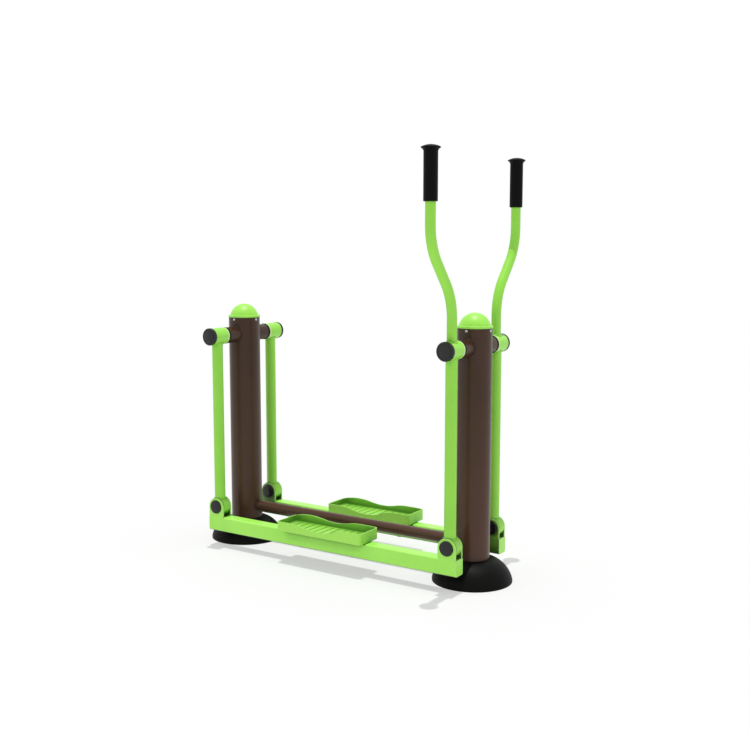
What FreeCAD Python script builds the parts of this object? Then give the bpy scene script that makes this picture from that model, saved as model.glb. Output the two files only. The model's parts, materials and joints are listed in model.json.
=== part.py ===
# Outdoor air walker: two posts, four swing arms on axles, two level rails with footboards.
# Millimetres, +X towards the handles, +Y to the user's left, +Z up.
# The origin is on the ground, midway between the posts.

import FreeCAD, Part
import Sketcher
import math
import os

# Driving dimensions.

SIZES = {
    # Posts and what stands on the ground
    "post_spacing": 1000,
    "post_diameter": 118,
    "post_wall": 3.5,
    "post_rise": 64,
    "plate_diameter": 240,
    "plate_thickness": 12,
    "anchor_circle": 180,
    "anchor_hole": 18,
    "gusset_height": 48,
    "gusset_reach": 48,
    "gusset_nose": 6,
    "gusset_thickness": 8,
    "cover_room": 17,
    "cover_top": 80,
    "cover_lip": 7,
    "cover_bulge": 15,
    "cover_neck": 7,
    "cover_wall": 3,
    "cover_gap": 0.4,
    "stretcher_height": 131,
    "stretcher_diameter": 38,
    "stretcher_wall": 3,
    # Post caps and their screws
    "rim_over": 1.5,
    "rim_height": 8,
    "rim_round": 3,
    "dome_inset": 6,
    "dome_height": 42.5,
    "dome_wall": 4,
    "spigot_depth": 22,
    "cap_screw_drop": 8,
    "cap_screw_diameter": 4.8,
    "cap_screw_length": 14,
    "cap_screw_head": 9.5,
    "cap_screw_crown": 2.6,
    # Crossarms, axles and the hubs that turn on them
    "axle_height": 798,
    "crossarm_diameter": 60,
    "crossarm_wall": 4,
    "crossarm_reach": 116.5,
    "crossarm_end": 12,
    "axle_diameter": 25,
    "axle_inset": 7,
    "axle_chamfer": 1,
    "seal_inset": 1.5,
    "seal_thickness": 2.6,
    "seal_gap": 0.4,
    "hub_diameter": 62,
    "hub_wall": 4,
    "hub_length": 71,
    "hub_rib": 6,
    "bearing_width": 15,
    "bearing_inset": 2,
    "bearing_ring": 4,
    "bearing_groove": 0.8,
    "spacer_wall": 3.5,
    "washer_diameter": 36,
    "washer_thickness": 3,
    "end_screw_diameter": 10,
    "end_screw_length": 24,
    "end_screw_flats": 16,
    "end_screw_head": 6.4,
    "tapped_depth": 30,
    "hub_cap_over": 1,
    "hub_cap_side": 8.5,
    "hub_cap_bevel": 2.5,
    "hub_cap_crown": 3,
    "hub_cap_roof": 8,
    "hub_cap_plug": 5.5,
    "hub_cap_shell": 3,
    "ring_mark_inset": 6.5,
    "ring_mark_width": 2,
    "ring_mark_depth": 1,
    # Swing arms, handles and grips
    "arm_diameter": 40,
    "arm_wall": 3,
    "handle_diameter": 33.5,
    "handle_wall": 2.5,
    "handle_spread": 139.5,
    "handle_bend_start": 99,
    "handle_bend_radius": 180,
    "handle_bend_angle": 40,
    "handle_end": 631,
    "grip_diameter": 45,
    "grip_cover": 163.5,
    "grip_round": 2,
    "grip_flange": 61,
    "grip_flare": 15,
    "grip_flare_curve": 12,
    "grip_flange_drop": 4,
    "grip_flange_side": 3.5,
    "grip_crown": 7.5,
    # Lower pivots
    "pivot_height": 152,
    "pivot_rise": 37,
    "lower_hub_rib": 2,
    "lower_rib_depth": 2,
    "lower_bearing_diameter": 42,
    "lower_bearing_inset": 0.5,
    "lower_bearing_ring": 3.5,
    "pin_diameter": 20,
    "pin_head_diameter": 30,
    "pin_head": 4,
    "pin_tail": 4,
    "pin_chamfer": 1,
    "clip_inset": 0.3,
    "clip_thickness": 1.2,
    "clip_seat_depth": 0.8,
    "clip_diameter": 26,
    "clip_mouth": 14,
    "ear_thickness": 5.5,
    "ear_inset": 2,
    "ear_gap": 1,
    "ear_margin": 1,
    "pivot_cap_diameter": 50,
    "pivot_cap_side": 6,
    "pivot_cap_bevel": 1.5,
    "pivot_cap_crown": 2,
    "pivot_cap_room": 1,
    # Rails
    "rail_width": 47,
    "rail_depth": 55,
    "rail_wall": 3,
    "rail_corner": 5,
    "rail_overhang": 35.5,
    # Footboards
    "board_length": 363,
    "board_width": 116,
    "board_corner": 13,
    "board_wall": 5,
    "skirt_rise": 3,
    "tread_height": 16,
    "tread_thickness": 6,
    "wall_rear": 36,
    "wall_front": 41,
    "rear_crest": 43.5,
    "rear_crest_place": 115,
    "front_crest": 42.5,
    "high_crest_place": 105,
    "low_crest_place": 122,
    "rear_shoulder_place": 130,
    "dip_place": 5,
    "high_dip": 31,
    "low_dip": 19.5,
    "bar_width": 4,
    "bar_height": 1.5,
    "bar_pitch": 28,
    "bar_count": 11,
    "bar_margin": 9,
    "rib_width": 5,
    "boss_width": 34,
    "boss_spacing": 220,
    "board_bolt_diameter": 10,
    "board_bolt_flats": 17,
    "board_bolt_head": 6.4,
    "board_bolt_bite": 11,
    # Fits
    "running_gap": 0.05,
    "push_gap": 0.02,
    "cap_gap": 0.2,
    "hole_gap": 0.25,
    "weld_gap": 0.1,
    "tip_gap": 0.5,
    "cut_margin": 2,
}

SIDES = {"left": 1, "right": -1}
ENDS = {"front": 1, "rear": -1}

doc = FreeCAD.newDocument("AirWalker")
sheet = doc.addObject("Spreadsheet::Sheet", "Sizes")


class Size:
    """A length known as a number and as the expression that ties it to the sheet."""

    def __init__(self, value, text=None):
        self.value = float(value)
        self.text = text or repr(float(value))

    def joined(self, sign, other, value):
        return Size(value, f"({self.text} {sign} {size(other).text})")

    def __add__(self, other):
        return self.joined("+", other, self.value + size(other).value)

    def __sub__(self, other):
        return self.joined("-", other, self.value - size(other).value)

    def __mul__(self, other):
        return self.joined("*", other, self.value * size(other).value)

    def __truediv__(self, other):
        return self.joined("/", other, self.value / size(other).value)

    def __neg__(self):
        return self * -1


def size(value):
    return value if isinstance(value, Size) else Size(value)


class Sheet:
    """The driving dimensions by name, each as a Size."""


d = Sheet()
for row, (name, number) in enumerate(SIZES.items(), start=1):
    sheet.set(f"A{row}", name)
    sheet.set(f"B{row}", str(number))
    sheet.setAlias(f"B{row}", name)
    setattr(d, name, Size(number, f"Sizes.{name}"))
doc.recompute()

# Radii and levels that several pieces share.

post_radius = d.post_diameter / 2
axle_radius = d.axle_diameter / 2
hub_radius = d.hub_diameter / 2
bearing_seat = hub_radius - d.hub_wall
hub_start = d.crossarm_reach + d.seal_thickness + d.seal_gap
hub_end = hub_start + d.hub_length
axle_reach = hub_end - d.axle_inset
outer_bearing = axle_reach - d.bearing_width
inner_bearing = hub_start + d.bearing_inset
side_offset = hub_start + d.hub_length / 2
post_top = d.axle_height + d.post_rise
rail_top = d.pivot_height - d.pivot_rise
rail_bottom = rail_top - d.rail_depth
rail_half = d.rail_width / 2
pin_radius = d.pin_diameter / 2
ear_radius = d.rail_overhang - d.ear_inset
lower_hub_radius = ear_radius + d.ear_margin
lower_hub_half = rail_half - d.ear_thickness - d.ear_gap

# Sketches and features.

X_AXIS_INDEX = -1
Y_AXIS_INDEX = -2
START_INDEX = 1
END_INDEX = 2
CENTRE_INDEX = 3
UPRIGHT = FreeCAD.Rotation()
ALONG_X = FreeCAD.Rotation(FreeCAD.Vector(0, 1, 0), 90)
OUTWARD = {
    "left": FreeCAD.Rotation(FreeCAD.Vector(1, 0, 0), -90),
    "right": FreeCAD.Rotation(FreeCAD.Vector(1, 0, 0), 90),
}
ALONG_Y = OUTWARD["left"]


def new_sketch(body, role, name, level=0):
    """A sketch on one of the body's own origin planes, raised by level along the plane's normal."""
    sketch = body.newObject("Sketcher::SketchObject", name)
    plane = next(item for item in body.Origin.OriginFeatures if item.Role == role)
    sketch.AttachmentSupport = [(plane, "")]
    sketch.MapMode = "FlatFace"
    sketch.AttachmentOffset = FreeCAD.Placement(FreeCAD.Vector(0, 0, size(level).value), UPRIGHT)
    sketch.setExpression("AttachmentOffset.Base.z", size(level).text)
    return sketch


def hold_point(sketch, edge, end, x, y):
    """Fixes one point of an edge at x, y."""
    rules = ((Y_AXIS_INDEX, "DistanceX", size(x)), (X_AXIS_INDEX, "DistanceY", size(y)))
    for axis, kind, place in rules:
        if place.value == 0:
            sketch.addConstraint(Sketcher.Constraint("PointOnObject", edge, end, axis))
        else:
            rule = Sketcher.Constraint(kind, X_AXIS_INDEX, START_INDEX, edge, end, place.value)
            number = sketch.addConstraint(rule)
            sketch.setExpression(f"Constraints[{number}]", place.text)


def hold_radius(sketch, edge, radius):
    number = sketch.addConstraint(Sketcher.Constraint("Radius", edge, abs(radius.value)))
    sketch.setExpression(f"Constraints[{number}]", radius.text)


def arc_edge(start, end, radius, swells):
    """An arc that swells to the right of the line from start to end, or hollows to its left."""
    across = end - start
    right = FreeCAD.Vector(across.y, -across.x, 0).normalize()
    drop = math.sqrt(max(radius ** 2 - (across.Length / 2) ** 2, 0))
    side = -1 if swells else 1
    centre = (start + end) * 0.5 + right * (side * drop)
    angles = [math.atan2(point.y - centre.y, point.x - centre.x) for point in (start, end)]
    circle = Part.Circle(centre, FreeCAD.Vector(0, 0, 1), radius)
    if swells:
        return Part.ArcOfCircle(circle, angles[0], angles[1]), START_INDEX, END_INDEX
    return Part.ArcOfCircle(circle, angles[1], angles[0]), END_INDEX, START_INDEX


def draw(sketch, corners):
    """A closed outline, drawn counterclockwise. A corner is (x, y), or (x, y, radius, "out") or
    (x, y, radius, "in") when the edge that leaves it is an arc that swells out or hollows in."""
    points = [FreeCAD.Vector(size(x).value, size(y).value, 0) for x, y, *bend in corners]
    edges = []
    for number, (x, y, *bend) in enumerate(corners):
        start, end = points[number], points[(number + 1) % len(points)]
        shape, first, last = Part.LineSegment(start, end), START_INDEX, END_INDEX
        if bend:
            radius, way = bend
            shape, first, last = arc_edge(start, end, size(radius).value, way == "out")
        edges.append((sketch.addGeometry(shape, False), first, last))
    for number, (x, y, *bend) in enumerate(corners):
        edge, first, last = edges[number]
        following, its_first, _ = edges[(number + 1) % len(edges)]
        sketch.addConstraint(Sketcher.Constraint("Coincident", edge, last, following, its_first))
        hold_point(sketch, edge, first, x, y)
        if bend:
            hold_radius(sketch, edge, size(bend[0]))


def draw_circle(sketch, x, y, radius):
    centre = FreeCAD.Vector(size(x).value, size(y).value, 0)
    edge = sketch.addGeometry(Part.Circle(centre, FreeCAD.Vector(0, 0, 1), radius.value), False)
    hold_point(sketch, edge, CENTRE_INDEX, x, y)
    hold_radius(sketch, edge, radius)


def rectangle(half_width, half_height, middle=0):
    """Corners of a rectangle that is centred on x = 0 and on y = middle."""
    low, high = size(middle) - half_height, size(middle) + half_height
    left, right = -size(half_width), size(half_width)
    return [(left, low), (right, low), (right, high), (left, high)]


def rounded_rectangle(half_width, half_height, corner):
    """Corners of a rectangle with round corners, centred on the sketch's origin."""
    x, y = size(half_width), size(half_height)
    near_x, near_y = x - corner, y - corner
    return [
        (-near_x, -y), (near_x, -y, corner, "out"),
        (x, -near_y), (x, near_y, corner, "out"),
        (near_x, y), (-near_x, y, corner, "out"),
        (-x, near_y), (-x, -near_y, corner, "out"),
    ]


def crown_radius(half_width, rise):
    """The radius of a dome that rises over a round face and is level at its middle."""
    return (half_width * half_width + rise * rise) / (rise * 2)


def bulge_radius(width, height, bulge):
    """The radius of an arc that stands off its chord by a bulge. The chord spans width and height."""
    return (width * width + height * height + bulge * bulge * 4) / (bulge * 8)


def wave(start, end):
    """Two like arcs between two level points of a wall's edge, for an outline that lies above it."""
    (x, y), (far_x, far_y) = start, end
    falls = y.value > far_y.value
    width, height = far_x - x, y - far_y if falls else far_y - y
    radius = (width * width + height * height) / (height * 4)
    ways = ("in", "out") if falls else ("out", "in")
    return [(x, y, radius, ways[0]), ((x + far_x) / 2, (y + far_y) / 2, radius, ways[1])]


def pad(body, sketch, length, both_ways=False):
    feature = body.newObject("PartDesign::Pad", sketch.Name + "_pad")
    feature.Profile = sketch
    feature.SideType = "Symmetric" if both_ways else "One side"
    feature.setExpression("Length", size(length).text)
    return feature


def pocket(body, sketch, length=None, reverse=False):
    """A cut of the given length to one side of the sketch, or right through to both sides."""
    feature = body.newObject("PartDesign::Pocket", sketch.Name + "_cut")
    feature.Profile = sketch
    feature.Reversed = reverse
    if length is None:
        feature.SideType = "Symmetric"
        feature.Type = "ThroughAll"
    else:
        feature.setExpression("Length", size(length).text)
    return feature


def turned(name, corners):
    """A body turned about its Z axis. The outline's x is the radius and its y is the height."""
    body = doc.addObject("PartDesign::Body", name)
    sketch = new_sketch(body, "XZ_Plane", name + "_outline")
    draw(sketch, corners)
    turn = body.newObject("PartDesign::Revolution", name + "_turn")
    turn.Profile = sketch
    turn.ReferenceAxis = (sketch, ["V_Axis"])
    turn.Angle = 360
    return body


def ring(name, inner, outer, low, high):
    return turned(name, [(inner, low), (outer, low), (outer, high), (inner, high)])


def put(item, x=0, y=0, z=0, turn=UPRIGHT):
    """Places an item and ties its place to the sheet."""
    base = FreeCAD.Vector(size(x).value, size(y).value, size(z).value)
    item.Placement = FreeCAD.Placement(base, turn)
    for letter, value in (("x", x), ("y", y), ("z", z)):
        item.setExpression("Placement.Base." + letter, size(value).text)
    return item


def cylinder(name, radius, height, x=0, y=0, z=0, turn=UPRIGHT):
    item = doc.addObject("Part::Cylinder", name)
    item.setExpression("Radius", size(radius).text)
    item.setExpression("Height", size(height).text)
    return put(item, x, y, z, turn)


def cut(name, base, tools):
    """The base less its tools."""
    result = doc.addObject("Part::Cut", name)
    result.Base = base
    if len(tools) == 1:
        result.Tool = tools[0]
    else:
        joined = doc.addObject("Part::MultiFuse", name + "_cutters")
        joined.Shapes = tools
        result.Tool = joined
    return result


def group(name, members):
    """One node that holds several separate solids."""
    result = doc.addObject("Part::Compound", name)
    result.Links = members
    return result


def hex_screw(name, radius, length, flats, head):
    """A hexagon screw whose head stands on z = 0 and whose shank runs down."""
    cap = doc.addObject("Part::Prism", name + "_head")
    cap.Polygon = 6
    cap.setExpression("Circumradius", (flats / math.sqrt(3)).text)
    cap.setExpression("Height", head.text)
    shank = cylinder(name + "_shank", radius, length, z=-length)
    screw = doc.addObject("Part::Fuse", name)
    screw.Base = cap
    screw.Tool = shank
    return screw


# Posts and what stands on the ground.


def make_post(end):
    """A round tube on its base plate, with a hole across it for the crossarm and four for screws."""
    name = end + "_post"
    body = ring(name, post_radius - d.post_wall, post_radius, d.plate_thickness, post_top)
    screw_level = post_top - d.cap_screw_drop
    screw_hole = d.cap_screw_diameter / 2 + d.push_gap
    across = new_sketch(body, "XZ_Plane", name + "_across")
    draw_circle(across, 0, d.axle_height, d.crossarm_diameter / 2 + d.weld_gap)
    draw_circle(across, 0, screw_level, screw_hole)
    pocket(body, across)
    along = new_sketch(body, "YZ_Plane", name + "_along")
    draw_circle(along, 0, screw_level, screw_hole)
    pocket(body, along)
    return put(body, x=post_x(end))


def post_x(end):
    return d.post_spacing / 2 * ENDS[end]


def make_base_plate(end):
    """A round plate with four anchor holes."""
    name = end + "_base_plate"
    body = doc.addObject("PartDesign::Body", name)
    disc = new_sketch(body, "XY_Plane", name + "_disc")
    draw_circle(disc, 0, 0, d.plate_diameter / 2)
    pad(body, disc, d.plate_thickness)
    hole = new_sketch(body, "XY_Plane", name + "_hole")
    hole_offset = d.anchor_circle / 2 * math.sqrt(0.5)
    draw_circle(hole, hole_offset, hole_offset, d.anchor_hole / 2)
    drilled = pocket(body, hole)
    pattern = body.newObject("PartDesign::PolarPattern", name + "_holes")
    pattern.Originals = [drilled]
    pattern.Axis = (hole, ["N_Axis"])
    pattern.Angle = 360
    pattern.Occurrences = 4
    body.Tip = pattern
    return put(body, x=post_x(end))


def make_base_gussets():
    """Four upright plates round each post's foot, between the anchor holes."""
    members = []
    outline = [
        (post_radius + d.weld_gap, 0),
        (post_radius + d.gusset_reach, 0),
        (post_radius + d.gusset_reach, d.gusset_nose),
        (post_radius + d.gusset_nose, d.gusset_height),
        (post_radius + d.weld_gap, d.gusset_height),
    ]
    for end in ENDS:
        for number in range(4):
            name = f"{end}_gusset_{number + 1}"
            body = doc.addObject("PartDesign::Body", name)
            sketch = new_sketch(body, "XZ_Plane", name + "_outline")
            draw(sketch, outline)
            pad(body, sketch, d.gusset_thickness, both_ways=True)
            turn = FreeCAD.Rotation(FreeCAD.Vector(0, 0, 1), 90 * number)
            members.append(put(body, x=post_x(end), z=d.plate_thickness, turn=turn))
    return group("base_gussets", members)


def make_base_cover(end):
    """A bell-shaped skirt that hides the base plate and its anchors."""
    neck = post_radius + d.cover_gap
    rim = d.plate_diameter / 2 + d.cover_room
    width = rim - neck - d.cover_wall
    rise = d.cover_top - d.cover_lip
    outside_curve = bulge_radius(width, rise, d.cover_bulge)
    inside_curve = bulge_radius(width, rise - d.cover_neck, d.cover_bulge)
    body = turned(end + "_base_cover", [
        (rim - d.cover_wall, 0),
        (rim, 0),
        (rim, d.cover_lip, outside_curve, "out"),
        (neck + d.cover_wall, d.cover_top),
        (neck, d.cover_top),
        (neck, d.cover_top - d.cover_neck, inside_curve, "in"),
        (rim - d.cover_wall, d.cover_lip),
    ])
    return put(body, x=post_x(end))


def make_stretcher():
    """The low tube between the posts, coped to them at both ends."""
    radius = d.stretcher_diameter / 2
    half = d.post_spacing / 2
    tube = ring("stretcher_tube", radius - d.stretcher_wall, radius, -half, half)
    put(tube, z=d.stretcher_height, turn=ALONG_X)
    cutters = [
        cylinder(f"stretcher_{end}_cope", post_radius + d.weld_gap, post_top, x=post_x(end))
        for end in ENDS
    ]
    return cut("stretcher", tube, cutters)


# Post caps.


def make_post_cap(end):
    """A hollow dome with a rim, and a spigot that fits inside the post."""
    name = end + "_post_cap"
    spigot = post_radius - d.post_wall - d.cap_gap
    inside = spigot - d.dome_wall
    rim = post_radius + d.rim_over
    dome = post_radius - d.dome_inset
    dome_curve = crown_radius(dome, d.dome_height)
    hollow_curve = crown_radius(dome - d.dome_wall, d.dome_height - d.dome_wall)
    top = d.rim_height + d.dome_height
    body = turned(name, [
        (inside, -d.spigot_depth),
        (spigot, -d.spigot_depth),
        (spigot, 0),
        (rim, 0),
        (rim, d.rim_height - d.rim_round, d.rim_round, "out"),
        (rim - d.rim_round, d.rim_height),
        (dome, d.rim_height, dome_curve, "out"),
        (0, top),
        (0, top - d.dome_wall, hollow_curve, "in"),
        (dome - d.dome_wall, d.rim_height),
    ])
    screw_hole = d.cap_screw_diameter / 2 + d.push_gap
    for role, suffix in (("XZ_Plane", "_across"), ("YZ_Plane", "_along")):
        sketch = new_sketch(body, role, name + suffix)
        draw_circle(sketch, 0, -d.cap_screw_drop, screw_hole)
        pocket(body, sketch)
    return put(body, x=post_x(end), z=post_top)


def make_post_cap_screws():
    """Four round-headed screws round each post's top, which hold its cap."""
    head = d.cap_screw_head / 2
    shank = d.cap_screw_diameter / 2
    level = post_top - d.cap_screw_drop
    members = []
    for end in ENDS:
        for number in range(4):
            angle = 90 * number
            step_x, step_y = round(math.cos(math.radians(angle))), round(math.sin(math.radians(angle)))
            screw = turned(f"{end}_cap_screw_{number + 1}", [
                (0, -d.cap_screw_length),
                (shank, -d.cap_screw_length),
                (shank, 0),
                (head, 0, crown_radius(head, d.cap_screw_crown), "out"),
                (0, d.cap_screw_crown),
            ])
            turn = FreeCAD.Rotation(FreeCAD.Vector(0, 0, 1), angle).multiply(ALONG_X)
            reach = post_radius + d.weld_gap
            put(screw, post_x(end) + reach * step_x, reach * step_y, level, turn)
            members.append(screw)
    return group("post_cap_screws", members)


# Crossarms and axles.


def make_crossarm(end):
    """A tube across the post, closed by bored ends that hold the axle."""
    outer = d.crossarm_diameter / 2
    inner = outer - d.crossarm_wall
    bore = axle_radius + d.push_gap
    reach = d.crossarm_reach
    inside = reach - d.crossarm_end
    body = turned(end + "_crossarm", [
        (bore, -reach), (outer, -reach), (outer, reach), (bore, reach),
        (bore, inside), (inner, inside), (inner, -inside), (bore, -inside),
    ])
    return put(body, x=post_x(end), z=d.axle_height, turn=ALONG_Y)


def make_axle_shaft(end):
    """A bright shaft, chamfered and tapped at both ends for the screws that hold the hubs."""
    tapped = d.end_screw_diameter / 2 + d.push_gap
    reach = axle_reach
    bottom = reach - d.tapped_depth
    slim = axle_radius - d.axle_chamfer
    shoulder = reach - d.axle_chamfer
    body = turned(end + "_axle_shaft", [
        (0, -bottom), (tapped, -bottom), (tapped, -reach), (slim, -reach),
        (axle_radius, -shoulder), (axle_radius, shoulder), (slim, reach),
        (tapped, reach), (tapped, bottom), (0, bottom),
    ])
    return put(body, x=post_x(end), z=d.axle_height, turn=ALONG_Y)


def on_axles(name, make_one):
    """The same pieces at all four axle ends, as one group. Heights run outwards from the post."""
    members = []
    for end in ENDS:
        for side in SIDES:
            members.append(at_axle(make_one(f"{end}_{side}_{name}"), end, side))
    return group(name, members)


def at_axle(item, end, side):
    return put(item, x=post_x(end), z=d.axle_height, turn=OUTWARD[side])


def make_seal(name):
    low = d.crossarm_reach
    outer = d.crossarm_diameter / 2 - d.seal_inset
    return ring(name, axle_radius + d.push_gap, outer, low, low + d.seal_thickness)


def make_spacer(name):
    inner = axle_radius + d.push_gap
    low, high = inner_bearing + d.bearing_width, outer_bearing
    return ring(name, inner, inner + d.spacer_wall, low, high)


def make_end_screw(name):
    """A washer over the axle's end and the hexagon screw that holds it."""
    radius = d.end_screw_diameter / 2
    low, high = axle_reach, axle_reach + d.washer_thickness
    washer = ring(name + "_washer", radius + d.hole_gap, d.washer_diameter / 2, low, high)
    screw = hex_screw(name + "_screw", radius, d.end_screw_length, d.end_screw_flats, d.end_screw_head)
    return group(name, [put(screw, z=high), washer])


# Swing arms.


def bearing(name, bore, outer, low, high, wall):
    """A sealed ball bearing: its rings stand a little proud of the seals between them."""
    inner_edge, outer_edge = bore + wall, outer - wall
    sunk_low, sunk_high = low + d.bearing_groove, high - d.bearing_groove
    return turned(name, [
        (bore, low), (inner_edge, low), (inner_edge, sunk_low), (outer_edge, sunk_low),
        (outer_edge, low), (outer, low), (outer, high), (outer_edge, high),
        (outer_edge, sunk_high), (inner_edge, sunk_high), (inner_edge, high), (bore, high),
    ])


def make_upper_hub(end, side):
    """The barrel that turns on the axle, bored from both ends for its bearings."""
    rib = bearing_seat - d.hub_rib / 2
    inner_stop = inner_bearing + d.bearing_width
    body = turned(f"{end}_{side}_upper_hub", [
        (bearing_seat, hub_start), (hub_radius, hub_start), (hub_radius, hub_end),
        (bearing_seat, hub_end), (bearing_seat, outer_bearing), (rib, outer_bearing),
        (rib, inner_stop), (bearing_seat, inner_stop),
    ])
    return at_axle(body, end, side)


def make_hub_bearings(end, side):
    name = f"{end}_{side}_hub_bearings"
    bore = axle_radius + d.running_gap
    outer = bearing_seat - d.push_gap
    members = []
    for number, low in enumerate((inner_bearing, outer_bearing), start=1):
        high = low + d.bearing_width
        item = bearing(f"{name}_{number}", bore, outer, low, high, d.bearing_ring)
        members.append(at_axle(item, end, side))
    return group(name, members)


def make_hub_cap(end, side):
    """A black cap with a low crown and a ring mark, pushed into the hub's end."""
    plug = bearing_seat - d.cap_gap
    inside = plug - d.hub_cap_shell
    edge = hub_radius + d.hub_cap_over
    face = d.hub_cap_side + d.hub_cap_bevel
    mark_out = edge - d.ring_mark_inset
    mark_in = mark_out - d.ring_mark_width
    body = turned(f"{end}_{side}_hub_cap", [
        (inside, -d.hub_cap_plug),
        (plug, -d.hub_cap_plug),
        (plug, 0),
        (edge, 0),
        (edge, d.hub_cap_side),
        (edge - d.hub_cap_bevel, face),
        (mark_out, face),
        (mark_out, face - d.ring_mark_depth),
        (mark_in, face - d.ring_mark_depth),
        (mark_in, face, crown_radius(mark_in, d.hub_cap_crown), "out"),
        (0, face + d.hub_cap_crown),
        (0, d.hub_cap_roof),
        (inside, d.hub_cap_roof),
    ])
    return put(body, post_x(end), hub_end * SIDES[side], d.axle_height, OUTWARD[side])


def hub_cope(name, radius, height, end, side):
    """A cutter a little larger than a hub, which leaves a tube's end fitted round it."""
    length = d.arm_diameter * 2
    start = (side_offset - length / 2) * SIDES[side]
    return cylinder(name, radius + d.weld_gap, length, post_x(end), start, height, OUTWARD[side])


def make_arm_tube(end, side):
    """The straight tube between the upper and the lower hub, coped to both."""
    name = f"{end}_{side}_arm_tube"
    radius = d.arm_diameter / 2
    length = d.axle_height - d.pivot_height
    tube = ring(name + "_blank", radius - d.arm_wall, radius, 0, length)
    put(tube, post_x(end), side_offset * SIDES[side], d.pivot_height)
    cutters = [
        hub_cope(name + "_upper_cope", hub_radius, d.axle_height, end, side),
        hub_cope(name + "_lower_cope", lower_hub_radius, d.pivot_height, end, side),
    ]
    return cut(name, tube, cutters)


def make_handle(side):
    """A tube that leaves the front hub upwards, bends outwards and runs up straight again."""
    name = side + "_handle"
    body = doc.addObject("PartDesign::Body", name + "_blank")
    section = new_sketch(body, "XY_Plane", name + "_section")
    draw_circle(section, 0, 0, d.handle_diameter / 2)
    draw_circle(section, 0, 0, d.handle_diameter / 2 - d.handle_wall)
    path = new_sketch(body, "YZ_Plane", name + "_path")
    draw_handle_path(path)
    pipe = body.newObject("PartDesign::AdditivePipe", name + "_pipe")
    pipe.Profile = section
    pipe.Spine = path
    turn = FreeCAD.Rotation(FreeCAD.Vector(0, 0, 1), 0 if side == "left" else 180)
    put(body, post_x("front"), side_offset * SIDES[side], d.axle_height, turn)
    return cut(name, body, [hub_cope(name + "_cope", hub_radius, d.axle_height, "front", side)])


def draw_handle_path(sketch):
    """Straight up, an S bend outwards, and straight up again, with the two bends alike."""
    radius, spread = d.handle_bend_radius.value, d.handle_spread.value
    angle = math.radians(d.handle_bend_angle.value)
    low, end = d.handle_bend_start.value, d.handle_end.value
    bend_x, bend_y = radius * (1 - math.cos(angle)), radius * math.sin(angle)
    slant = (spread - 2 * bend_x) / math.sin(angle)
    top = low + 2 * bend_y + slant * math.cos(angle)
    points = [
        FreeCAD.Vector(0, 0, 0),
        FreeCAD.Vector(0, low, 0),
        FreeCAD.Vector(bend_x, low + bend_y, 0),
        FreeCAD.Vector(spread - bend_x, top - bend_y, 0),
        FreeCAD.Vector(spread, top, 0),
        FreeCAD.Vector(spread, end, 0),
    ]
    first, slope, last = (
        sketch.addGeometry(Part.LineSegment(points[number], points[number + 1]), False)
        for number in (0, 2, 4)
    )
    lower_arc = sketch.addGeometry(arc_edge(points[1], points[2], radius, False)[0], False)
    upper_arc = sketch.addGeometry(arc_edge(points[3], points[4], radius, True)[0], False)
    joints = (
        (first, END_INDEX, lower_arc, END_INDEX), (lower_arc, START_INDEX, slope, START_INDEX),
        (slope, END_INDEX, upper_arc, START_INDEX), (upper_arc, END_INDEX, last, START_INDEX),
    )
    for joint in joints:
        sketch.addConstraint(Sketcher.Constraint("Tangent", *joint))
    hold_point(sketch, first, START_INDEX, 0, 0)
    hold_point(sketch, first, END_INDEX, 0, d.handle_bend_start)
    hold_point(sketch, last, END_INDEX, d.handle_spread, d.handle_end)
    sketch.addConstraint(Sketcher.Constraint("Vertical", last))
    hold_radius(sketch, lower_arc, d.handle_bend_radius)
    hold_radius(sketch, upper_arc, d.handle_bend_radius)


def make_grip(side):
    """A rubber sleeve over the handle's end, flared to a flange at the top so that a hand stays on."""
    inner = d.handle_diameter / 2 + d.push_gap
    outer = d.grip_diameter / 2
    flange = d.grip_flange / 2
    brim = d.grip_flange_side - d.grip_flange_drop
    body = turned(side + "_grip", [
        (inner, -d.grip_cover),
        (outer - d.grip_round, -d.grip_cover, d.grip_round, "out"),
        (outer, -d.grip_cover + d.grip_round),
        (outer, -d.grip_flare, d.grip_flare_curve, "in"),
        (flange, -d.grip_flange_drop),
        (flange, brim, crown_radius(flange, d.grip_crown), "out"),
        (0, brim + d.grip_crown),
        (0, d.tip_gap),
        (inner, d.tip_gap),
    ])
    across = (side_offset + d.handle_spread) * SIDES[side]
    return put(body, post_x("front"), across, d.axle_height + d.handle_end)


# Lower pivots. Heights run outwards from the middle of the hub.


def at_pivot(item, end, side):
    return put(item, post_x(end), side_offset * SIDES[side], d.pivot_height, OUTWARD[side])


def make_lower_hub(end, side):
    """The short barrel at the arm's foot, between the rail's ears, bored for two bearings."""
    half = lower_hub_half
    seat = d.lower_bearing_diameter / 2
    rib = seat - d.lower_rib_depth
    stop = d.lower_hub_rib / 2
    body = turned(f"{end}_{side}_lower_hub", [
        (seat, -half), (lower_hub_radius, -half), (lower_hub_radius, half), (seat, half),
        (seat, stop), (rib, stop), (rib, -stop), (seat, -stop),
    ])
    return at_pivot(body, end, side)


def make_lower_bearings(end, side):
    name = f"{end}_{side}_lower_bearings"
    bore = pin_radius + d.running_gap
    outer = d.lower_bearing_diameter / 2 - d.push_gap
    stop = d.lower_hub_rib / 2
    far = lower_hub_half - d.lower_bearing_inset
    members = []
    for number, (low, high) in enumerate(((stop, far), (-far, -stop)), start=1):
        item = bearing(f"{name}_{number}", bore, outer, low, high, d.lower_bearing_ring)
        members.append(at_pivot(item, end, side))
    return group(name, members)


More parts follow.
